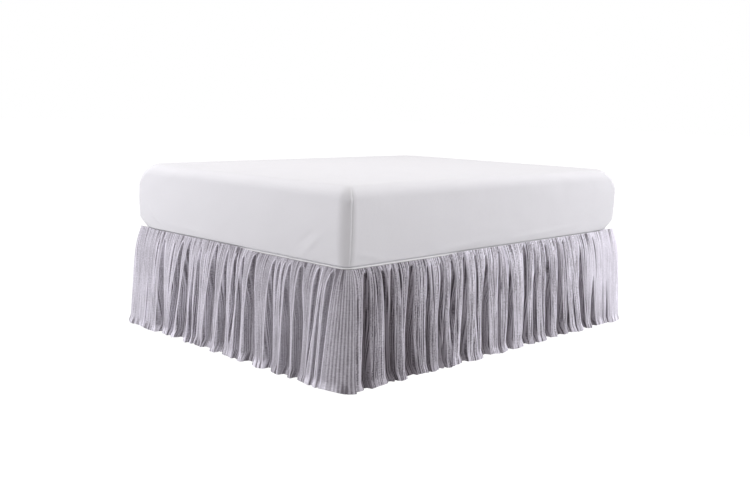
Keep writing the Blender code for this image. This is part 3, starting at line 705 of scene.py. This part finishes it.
def makePanel(name, node, folds, shape, start, end, place, columns, seed,
              calmFrom, nearCorner=0.0, lapped=False, coverStart=None):
    # the cloth's distance from the bed is the skin less the recesses, plus crests,
    # ribs, gathers, corner ribs, ruffle, cover and lap; crinkles are raised last
    look = panelLook
    down, cloth, middle = panelGrid(folds, shape, start, end, columns)
    # the edges of a panel hang quietly, and so does the cloth past calmFrom
    edge = smoothStep((middle - start) / look["edgeRun"]) * smoothStep((end - middle) / look["edgeRun"])
    freedom = 0.15 + 0.85 * edge
    lively = (1 - look["quiet"] * smoothStep((middle - calmFrom) / look["quietRun"])) * freedom
    farther = np.abs(middle - nearCorner)
    cornerZone = bell(middle, nearCorner, look["cornerReach"])

    dip, crest, shade, floor = foldDip(folds, middle, down, shape)
    out = hangOut(middle, down, edge, dip, crest, seed)
    ribs = noiseRidge(cloth / look["ribPitch"], down * 0.9, seed + 1, look["ribSharp"]) - 0.3
    out = out + shape["ribHeight"] * ribs * smoothStep(down / 0.25) * lively
    gather = noiseRidge(cloth / look["gatherPitch"], down * 0.7, seed + 2, look["gatherSharp"])
    gatherOut = look["gatherDepth"] * gather * np.exp(-down / look["gatherDrop"])
    out = out - gatherOut * smoothStep(down / 0.025) * lively
    cornerRib = cornerRibs(middle, down, cornerZone, seed)
    out = out + look["cornerHeight"] * cornerRib * smoothStep(down / 0.10)
    ruffle = softNoise(cloth / look["rufflePitch"], down * 2.0, seed + 3)
    nearHem = smoothStep((down - (1 - look["ruffleRun"])) / look["ruffleRun"])
    out = out + look["ruffleHeight"] * ruffle * nearHem * freedom
    cover = headingCover(middle, farther, shape, coverStart)
    coverFade = np.exp(-down / look["coverDrop"])
    out = out + look["coverOut"] * cover * coverFade
    if lapped:
        out = out + lapOver(middle, down, start, end)
    out = np.maximum(out, look["nearest"])

    hollow = np.clip((skin(down) - out) / look["hollowDepth"], 0, 1) ** 1.3
    height = clothHeight(middle, down, edge, hollow, ruffle, 0.0 if lapped else look["endLift"])
    height = height + look["coverRise"] * cover * coverFade
    x, y, outX, outY = outline(place(middle + foldShift(folds, middle, down, start, end)))
    points = np.stack([x + out * outX, y + out * outY, height + 0 * x], axis=-1)

    strength = crinkleStrength(farther, floor, shape)
    crinkle = crinkles(cloth, down, cornerZone, seed)
    hemRise, stitchLine = turnedHem(down)
    raised = crinkleLook["height"] * strength * crinkle * smoothStep(down / 0.015) + hemRise - stitchLine
    normal = surfaceNormals(points)
    facing = np.sign(np.sum(normal[..., 0] * outX + normal[..., 1] * outY))
    points = points + normal * facing * raised[..., None]
    points[..., 2] = np.maximum(points[..., 2], look["lowest"])

    # painted light and shade, stored as the crinkle mark
    tone = paintedShading(cloth, farther, down, crinkle * strength, cornerRib, crest, gather, shape, seed)
    # painted shade in the recesses and near the corner, mostly from the shade mask and a little from the
    # depth
    recess = np.clip(0.10 * hollow + 0.95 * shade, 0, 1)
    grain = shape["grain"] * strength * (1 - 0.7 * cornerZone) * (1 - 0.35 * floor)
    rows = points.shape[0]
    uv = np.stack([np.broadcast_to(cloth, (rows, columns)),
                   np.broadcast_to((1 - down) * look["uvDrop"], (rows, columns))], axis=-1).reshape(-1, 2)
    faces = [gridFaces(rows, columns, flip=facing < 0)]
    marks = {"crinkle": tone.ravel(), "recess": recess.ravel(), "grain": grain.ravel()}
    piece = meshPiece(name, points.reshape(-1, 3), faces, skirtCloth, uv, marks)
    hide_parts(node)
    print(name, "cloth along the row", round(float(cloth[0, -1]), 3), "m")


# seam binding: an oval strip carried along the outline

bindingLook = dict(radius=0.0018, height=0.4550, inset=0.0004, steps=1900, sides=12)


def makeBinding():
    # each ring is a circle of a slowly changing radius, flattened a little
    look = bindingLook
    end = bedBreaks[4] + panelLook["returnLength"]
    along = np.linspace(-end, end, look["steps"])[:, None]
    ring = np.linspace(0, 2 * math.pi, look["sides"], endpoint=False)[None, :]
    x, y, outX, outY = outline(along)
    radius = look["radius"] * (1 + 0.10 * softNoise(along / 0.012, ring * 0, 40))
    out = -look["inset"] + radius * np.cos(ring)
    up = radius * np.sin(ring) * (0.92 + 0.08 * softNoise(along / 0.05, ring * 0, 41))
    points = np.stack([x + out * outX, y + out * outY, look["height"] + up], axis=-1)
    rows, columns = points.shape[:2]
    flat = np.concatenate([points.reshape(-1, 3), points.mean(axis=1)[[0, -1]]])
    first = np.arange(columns)
    last = first + (rows - 1) * columns
    startCap = np.stack([np.full(columns, rows * columns), np.roll(first, -1), first], axis=-1)
    endCap = np.stack([np.full(columns, rows * columns + 1), last, np.roll(last, -1)], axis=-1)
    uv = np.stack([along + 0 * ring, ring * look["radius"] + 0 * along], axis=-1).reshape(-1, 2)
    piece = meshPiece("skirtBinding", flat, [gridFaces(rows, columns, wrap=True), startCap, endCap],
                      deckCotton, np.concatenate([uv, np.zeros((2, 2))]))
    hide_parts("skirt_binding")
    return piece


binding = makeBinding()

# the seams between the panels lie splitAngle round the foot corners; a side panel's
# distances start at the corner's tip, sideShift along the outline
halfGap = panelLook["splitGap"] / 2
splitAt = bedBreaks[1] + bed["corner"] * math.radians(panelLook["splitAngle"])
sideShift = bedBreaks[2] - bed["corner"]
footEnd = splitAt - halfGap + panelLook["lap"]
sideStart = splitAt + halfGap - sideShift
sideEnd = bedBreaks[4] + panelLook["returnLength"] - sideShift
mirrorAt = 1.86  # the far side's recesses are the near side's, counted from the head
farFolds = tuple((*(mirrorAt - at for at in row[:3]), *row[3:]) for row in reversed(sideFolds))
halfFoot = bed["width"] / 2
makePanel("footPanel", "panel_foot", footFolds, footShape, halfFoot - footEnd, halfFoot + footEnd,
          lambda q: halfFoot - q, columns=1780, seed=11, calmFrom=1.20, lapped=True)
makePanel("rightPanel", "panel_right", sideFolds, sideShape, sideStart, sideEnd,
          lambda q: sideShift + q, columns=2100, seed=12, calmFrom=1.66)
makePanel("leftPanel", "panel_left", farFolds, sideShape, sideStart, sideEnd,
          lambda q: -(sideShift + q), columns=2100, seed=13, calmFrom=1.80,
          nearCorner=-1.0, coverStart=0.05)
print("panels hung")

# mattress: rounded block with a crowned top and a fitted cover's creases

mattressLook = dict(
    topRound=0.047, footRound=0.005, footGroove=0.0045, bulge=0.010, inset=0.0008, crown=0.004, lift=0.0003,
    sideCorner=0.028, endCorner=0.110,  # plan radius half way up, and at the top and foot
    nearCorner=0.046, leastCorner=0.010,  # the near corner's radius, and the least in the rings on top
    footEase=0.06, topEase=0.10,  # heights over which the plan radius changes
    headInset=0.016, shiftX=-0.005,
    columns=(150, 60, 280, 60, 150), bodyRows=38, bendRows=11,
    underRings=(0.40, 0.10, 0.05), topRings=(0.06, 0.075, 0.10, 0.14, 0.2, 0.29, 0.39, 0.50, 0.60),
    seamDepth=0.0017, seamWidth=0.0013, seamAt=0.006, seamRidge=0.0033, grooveAt=0.010, groove=0.9,
    pucker=0.0045, puckerAt=0.004, puckerWidth=0.008, puckerDrop=0.052, puckerTall=0.014,
    wobble=0.0012,
)
# creases on the sides: distance along the outline, height share, length,
# slope in degrees, half width, height of the ridge (negative is a trough)
creaseColumns = ("along", "level", "length", "slope", "wide", "high")
mattressCreases = (
    (0.520, 0.22, 0.16, 38.0, 0.014, 0.0022),
    (0.490, 0.30, 0.12, 34.0, 0.010, -0.0014),
    (0.760, 0.13, 0.18, -12.0, 0.012, 0.0016),
    (1.350, 0.10, 0.42, 3.0, 0.014, 0.0018),
    (1.900, 0.12, 0.50, 2.0, 0.013, 0.0018),
    (-0.300, 0.12, 0.40, -3.0, 0.014, 0.0014),
    (-0.560, 0.25, 0.15, -40.0, 0.012, 0.0018),
)


def mattressProfile(tall):
    # inset from the outline and height, from the underside to the top: a small
    # quarter round, an upright side, a large quarter round and the top's rings
    look = mattressLook
    bend = np.linspace(0, math.pi / 2, look["bendRows"])
    lowRound, topRound, lip = look["footRound"], look["topRound"], look["footGroove"]
    body = np.linspace(lip + lowRound, tall - topRound, look["bodyRows"] + 2)[1:-1]
    under, top = look["underRings"], look["topRings"]
    inset = np.concatenate([under, [lowRound + 0.001], lowRound * (1 - np.sin(bend)), 0 * body,
                            topRound * (1 - np.cos(bend)), top])
    level = np.concatenate([np.zeros(len(under) + 1), lip + lowRound * (1 - np.cos(bend)), body,
                            tall - topRound + topRound * np.sin(bend), np.full(len(top), tall)])
    return inset[:, None], level[:, None]


def mattressPush(along, level, tall, breaks):
    # how far the side stands out: a bulge half way up, creases, the corner seams
    # with their puckers, and a slight wobble
    look = mattressLook
    share = level / tall
    push = look["bulge"] * np.sin(math.pi * share) ** 0.7 - look["inset"]
    side = smoothStep(share / 0.1) * smoothStep((1 - share) / 0.1)
    for row in mattressCreases:
        crease = dict(zip(creaseColumns, row))
        angle = math.radians(crease["slope"])
        du, dv = along - crease["along"], level - crease["level"] * tall
        lengthwise = du * math.cos(angle) + dv * math.sin(angle)
        across = -du * math.sin(angle) + dv * math.cos(angle)
        high = crease["high"] * bell(across, 0, crease["wide"])
        push = push + high * bell(lengthwise, 0, crease["length"] / 2)
    near = np.abs(along)
    halfArc = look["sideCorner"] * math.pi / 4
    for at in (breaks[1] + halfArc, breaks[3] + halfArc):
        ridge = bell(near, at + look["seamAt"], look["seamRidge"])
        ridge = ridge - look["groove"] * bell(near, at + look["grooveAt"], look["seamWidth"])
        push = push + look["seamDepth"] * ridge * side
        pucker = bell(near, at + look["puckerAt"], look["puckerWidth"])
        push = push + look["pucker"] * (pucker * bell(level, tall - look["puckerDrop"], look["puckerTall"]))
    return push + look["wobble"] * softNoise(along / 0.11, level / 0.07, 51) * side


def makeMattress():
    # the profile carried round a rounded rectangle whose corners are wider at the
    # top and the foot than half way up
    look = mattressLook
    low = bed["deckTop"] + look["lift"]
    tall = bed["mattressHeight"]
    halfWidth, halfLength = bed["width"] / 2, (bed["length"] - look["headInset"]) / 2
    breaks = ringBreaks(halfWidth, halfLength, look["sideCorner"])
    turn = np.concatenate([np.linspace(k, k + 1, count, endpoint=False)
                           for k, count in enumerate(look["columns"])])
    turn = np.concatenate([turn, [5.0], -turn[:0:-1]])[None, :]
    mirror = np.sign(turn + 1e-9)
    along = np.interp(np.abs(turn), np.arange(6), breaks) * mirror
    inset, level = mattressProfile(tall)
    push = mattressPush(along, level, tall, breaks)
    ends = 1 - smoothStep(level / look["footEase"]) * smoothStep((tall - level) / look["topEase"])
    far = np.where(mirror > 0, np.clip(np.abs(turn) - 2, 0, 1), 1.0)
    middleCorner = look["nearCorner"] + (look["sideCorner"] - look["nearCorner"]) * far
    endCorner = look["nearCorner"] + (look["endCorner"] - look["nearCorner"]) * far
    radius = middleCorner + (endCorner - middleCorner) * ends
    radius = np.maximum(radius - inset * 0.5, look["leastCorner"])
    x, y, outX, outY = ringPoint(np.abs(turn), halfWidth - inset, halfLength - inset, radius)
    points = np.stack([(x + push * outX) * mirror + look["shiftX"],
                       y + push * outY - look["headInset"] / 2, low + level + 0 * x], axis=-1)
    points[..., 2] += look["crown"] * smoothStep(inset / 0.3) * (level / tall > 0.99)
    piece = closedPiece("mattressBody", points, low, low + tall + look["crown"], mattressCover,
                        profileUv(inset, level, along))
    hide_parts("mattress")


makeMattress()
print("mattress made")

# deck: thin sheet between mattress and box spring

deckLook = dict(
    inset=0.0026, thick=0.0016, columns=420, cut=(1.40, 1.93),
    rings=(0.3, 0.6, 0.85, 0.95, 1.0),  # shares of the outline, underside and then back on top
)


def makeDeck():
    # rounded outline filled by rings that shrink to the middle, top and underside
    look = deckLook
    along = np.linspace(-bedBreaks[5], bedBreaks[5], look["columns"], endpoint=False)[None, :]
    x, y, outX, outY = outline(along)
    share = np.array([*look["rings"], *look["rings"][::-1]])[:, None]
    low = bed["deckTop"] - look["thick"]
    level = np.repeat([low, bed["deckTop"]], len(look["rings"]))[:, None]
    points = np.stack([(x - look["inset"] * outX) * share, (y - look["inset"] * outY) * share,
                       level + 0 * x], axis=-1)
    uv = np.concatenate([points[..., :2].reshape(-1, 2), np.zeros((2, 2))])
    piece = closedPiece("deckSheet", points, low, bed["deckTop"], deckCotton, uv)
    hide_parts("skirt_deck")


# box spring: padded border between two welts

boxLook = dict(
    inset=0.010, height=0.2286, top=0.4551, edge=0.010,
    columns=700, bodyRows=28, bendRows=6, rings=(0.30, 0.05),
    push=-0.003, bulge=0.002, weltAt=0.016, weltWidth=0.0022, weltHeight=0.0022,
    grooveAt=0.021, grooveWidth=0.0025, grooveDepth=0.0015, wobble=0.0009,
)


def bothEdges(level, tall, at, width):
    # a bell at the same distance from the lower and the upper edge
    return bell(level, at, width) + bell(level, tall - at, width)


def makeBoxSpring():
    # a profile with two rounded edges carried round the outline, with a raised welt
    # and a groove beside it near either edge
    look = boxLook
    tall, edge = look["height"], look["edge"]
    along = np.linspace(-bedBreaks[5], bedBreaks[5], look["columns"], endpoint=False)[None, :]
    bend = np.linspace(0, math.pi / 2, look["bendRows"])
    body = np.linspace(edge, tall - edge, look["bodyRows"] + 2)[1:-1]
    inset = np.concatenate([look["rings"], edge * (1 - np.sin(bend)), 0 * body,
                            edge * (1 - np.cos(bend)), look["rings"][::-1]])[:, None]
    level = np.concatenate([[0, 0], edge * (1 - np.cos(bend)), body,
                            tall - edge + edge * np.sin(bend), [tall, tall]])[:, None]
    welts = bothEdges(level, tall, look["weltAt"], look["weltWidth"])
    grooves = bothEdges(level, tall, look["grooveAt"], look["grooveWidth"])
    push = look["push"] + look["bulge"] * np.sin(math.pi * (level / tall)) + look["weltHeight"] * welts
    push = push - look["grooveDepth"] * grooves + look["wobble"] * softNoise(along / 0.09, level / 0.05, 61)
    x, y, outX, outY = outline(along)
    shrink = look["inset"] + inset - push
    rounding = np.minimum(shrink, bed["corner"] * 0.75)
    extra = np.maximum(shrink - rounding, 0)
    low = look["top"] - tall
    points = np.stack([(x - rounding * outX) * (1 - extra / (bed["width"] / 2)),
                       (y - rounding * outY) * (1 - extra / (bed["length"] / 2)),
                       low + level + 0 * x], axis=-1)
    piece = closedPiece("boxSpring", points, low, look["top"], boxTicking, profileUv(inset, level, along))
    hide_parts("box_spring")


makeBoxSpring()
makeDeck()
print("deck and box spring made")

for name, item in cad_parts.items():
    if name.startswith("frame_"):
        item.data.materials.clear()
        item.data.materials.append(frameSteel)
print("frame finished")

# floor, lights and camera

studio = dict(
    floorHalf=40.0, floorTone=0.95, floorGlow=1.1, worldLow=0.326, worldTint=(1.0, 0.94, 0.90),
)
softboxes = dict(
    leftSoftbox=dict(place=(-2.7, -3.3, 1.8), aim=(-0.2, -0.9, 0.4), size=(2.4, 2.0),
                     power=111.0, colour=(0.965, 0.962, 1.0)),
    rightSoftbox=dict(place=(3.9, 5.0, 2.0), aim=(0.6, 0.2, 0.4), size=(2.4, 2.0),
                      power=310.0, colour=(0.965, 0.962, 1.0)),
    frontSoftbox=dict(place=(3.4, -4.4, 2.0), aim=(0.5, -0.7, 0.4), size=(2.0, 1.6),
                      power=53.5, colour=(0.970, 0.965, 1.0)),
    topSoftbox=dict(place=(0.0, 0.0, 3.6), aim=(0.0, 0.0, 0.0), size=(3.4, 3.8),
                    power=80.0, colour=(1.0, 1.0, 1.0)),
)
# angles in radians; focal length, sideways shift and picture width in pixels
viewpoint = dict(
    yaw=0.8244, pitch=0.1580, roll=0.0221, place=(2.9788, -3.2793, 1.0447),
    focalPixels=916.3, shiftPixels=70.0, widthPixels=750.0, sensorWidth=36.0, clipEnd=200.0,
)


def makeFloor():
    # the camera sees the floor a little lit from within, so that it stays white
    size = studio["floorHalf"]
    mesh = bpy.data.meshes.new("floor")
    corners = [(-size, -size, 0), (size, -size, 0), (size, size, 0), (-size, size, 0)]
    mesh.from_pydata(corners, [], [(0, 1, 2, 3)])
    material = bpy.data.materials.new("paleFloor")
    material.use_nodes = True
    tree = material.node_tree
    shader = tree.nodes["Principled BSDF"]
    shader.inputs["Base Color"].default_value = (0.5, 0.5, 0.5, 1)
    shader.inputs["Roughness"].default_value = 0.9
    path = tree.nodes.new('ShaderNodeLightPath')
    glow = tree.nodes.new('ShaderNodeEmission')
    glow.inputs["Color"].default_value = (1.0, 1.0, 1.0, 1.0)
    glow.inputs["Strength"].default_value = studio["floorGlow"]
    blend = tree.nodes.new('ShaderNodeMixShader')
    share = mathNode(tree, 'MULTIPLY', path.outputs["Is Camera Ray"], studio["floorTone"])
    tree.links.new(share, blend.inputs[0])
    tree.links.new(shader.outputs[0], blend.inputs[1])
    tree.links.new(glow.outputs[0], blend.inputs[2])
    tree.links.new(blend.outputs[0], tree.nodes["Material Output"].inputs["Surface"])
    mesh.materials.append(material)
    floor = bpy.data.objects.new("floor", mesh)
    bpy.context.scene.collection.objects.link(floor)


def makeWorld():
    # white for the camera, dimmer and a little warm for everything it lights
    world = bpy.data.worlds.new("studio")
    bpy.context.scene.world = world
    world.use_nodes = True
    tree = world.node_tree
    back = tree.nodes["Background"]
    seen = tree.nodes.new('ShaderNodeLightPath').outputs["Is Camera Ray"]
    low = studio["worldLow"]
    tree.links.new(mixColour(tree, seen, studio["worldTint"], (1.0, 1.0, 1.0)), back.inputs["Color"])
    tree.links.new(mathNode(tree, 'MULTIPLY_ADD', seen, 1.0 - low, low), back.inputs["Strength"])


def viewAxes(toward):
    # unit vectors to the side and up for something that looks along toward
    side = np.cross(toward, (0, 0, 1) if abs(toward[2]) < 0.99 else (0, 1, 0))
    side /= np.linalg.norm(side)
    return side, np.cross(side, toward)


def placeItem(item, side, up, toward, place):
    # an item looks down its own -Z, so its third axis is the reverse of toward
    item.matrix_world = Matrix([[side[k], up[k], -toward[k], place[k]] for k in range(3)] + [[0, 0, 0, 1]])
    bpy.context.scene.collection.objects.link(item)


def areaLight(name, place, aim, size, power, colour):
    # a rectangle of light at place that faces aim
    light = bpy.data.lights.new(name, 'AREA')
    light.shape = 'RECTANGLE'
    light.size, light.size_y = size
    light.energy = power
    light.color = colour
    toward = np.array(aim, float) - np.array(place, float)
    toward /= np.linalg.norm(toward)
    side, up = viewAxes(toward)
    placeItem(bpy.data.objects.new(name, light), side, up, toward, place)


def makeCamera():
    # looks along yaw and pitch, then turns by roll about that line
    yaw, pitch, roll = viewpoint["yaw"], viewpoint["pitch"], viewpoint["roll"]
    toward = np.array([-math.cos(pitch) * math.sin(yaw), math.cos(pitch) * math.cos(yaw), -math.sin(pitch)])
    side, up = viewAxes(toward)
    right = math.cos(roll) * side + math.sin(roll) * up
    high = -math.sin(roll) * side + math.cos(roll) * up
    data = bpy.data.cameras.new("camera")
    data.sensor_width = viewpoint["sensorWidth"]
    data.lens = viewpoint["sensorWidth"] * viewpoint["focalPixels"] / viewpoint["widthPixels"]
    data.shift_x = viewpoint["shiftPixels"] / viewpoint["widthPixels"]
    data.clip_end = viewpoint["clipEnd"]
    camera = bpy.data.objects.new("camera", data)
    placeItem(camera, right, high, toward, viewpoint["place"])
    bpy.context.scene.camera = camera


makeFloor()
makeWorld()
for name, softbox in softboxes.items():
    areaLight(name, **softbox)
makeCamera()
bpy.context.scene.view_settings.view_transform = 'Standard'
bpy.context.scene.view_settings.look = 'None'
print("studio set")
